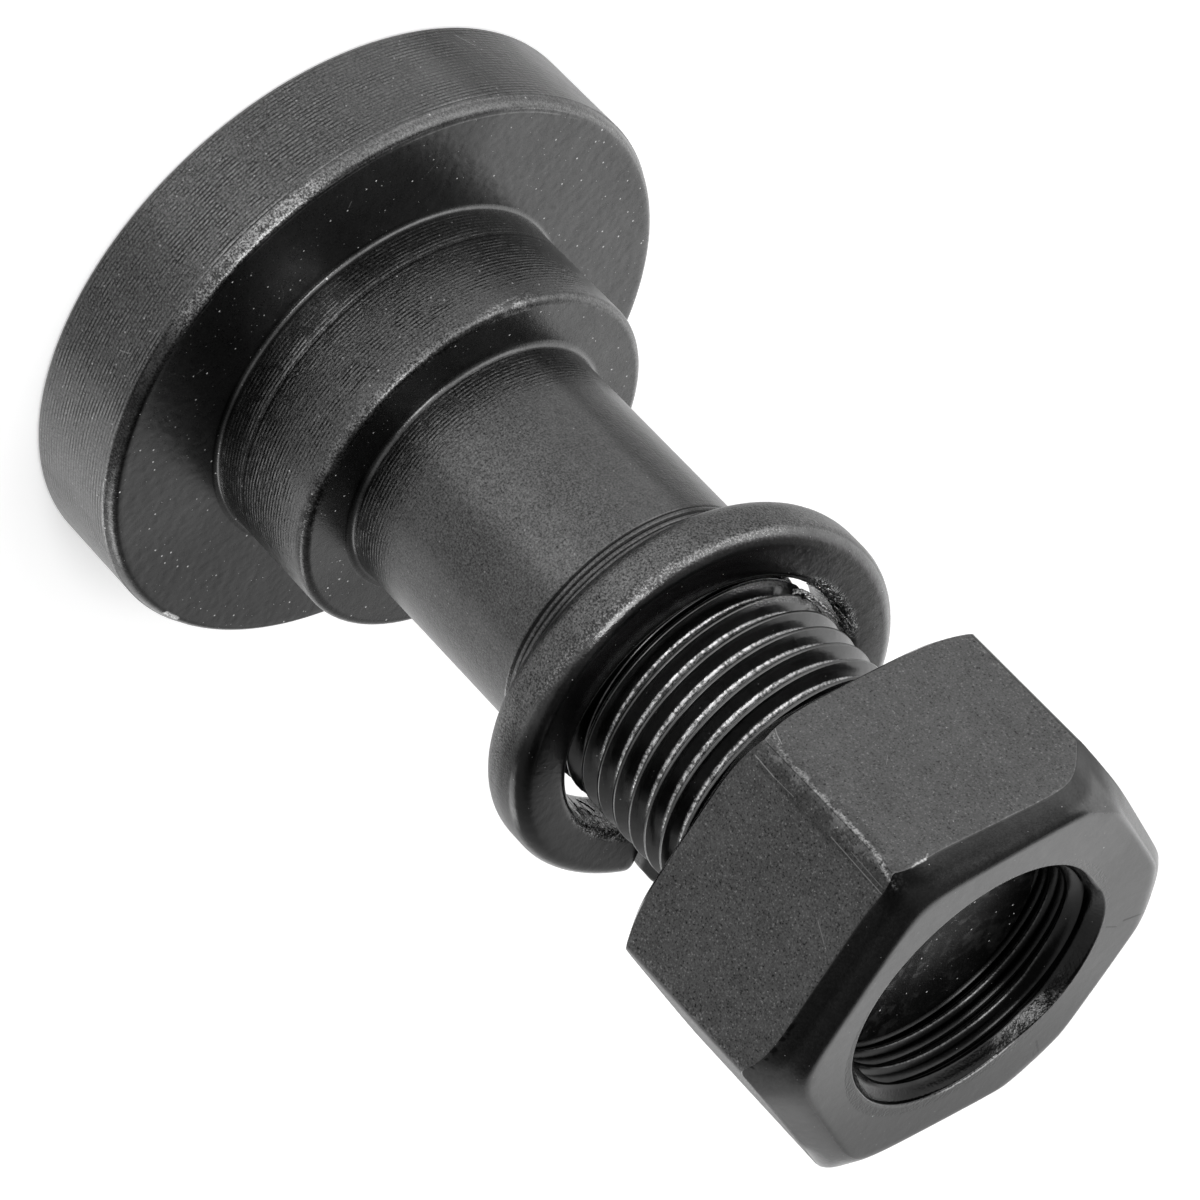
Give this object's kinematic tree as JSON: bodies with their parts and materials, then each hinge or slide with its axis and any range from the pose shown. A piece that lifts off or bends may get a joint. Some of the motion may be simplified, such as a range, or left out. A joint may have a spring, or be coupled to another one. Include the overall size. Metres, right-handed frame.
{
  "type": "blade bolt",
  "caption": "Stepped bolt with a wide round head, blade journal, plain shank and threaded end, with its split lock washer and hex nut.",
  "frame": {"origin": "centre of the flat back of the head, which the bolt stands on", "axes": "+Z along the bolt's axis, from the head towards the thread; +X through a corner of the nut"},
  "size_m": [0.0592, 0.0592, 0.0926],
  "materials": {
    "bolt_steel": "satin",
    "washer_steel": "satin",
    "nut_steel": "matte"
  },
  "bodies": {
    "bolt": {"blade_bolt": "bolt_steel"},
    "washer": {"lock_washer": "washer_steel"},
    "nut": {"hex_nut": "nut_steel"}
  },
  "joints": [
    {"name": "nut_turn", "type": "hinge", "parent": "bolt", "child": "washer", "pos_m": [0, 0, 0.0545], "axis": [0, 0, 1], "range_deg": [-1944, 2585]},
    {"name": "nut_travel", "type": "slide", "parent": "washer", "child": "nut", "axis": [0, 0, 1], "range_m": [-0.01144, 0.01521]}
  ],
  "couplings": [
    {"joint": "nut_travel", "follows": "nut_turn", "m_per_rad": 0.00033688}
  ]
}
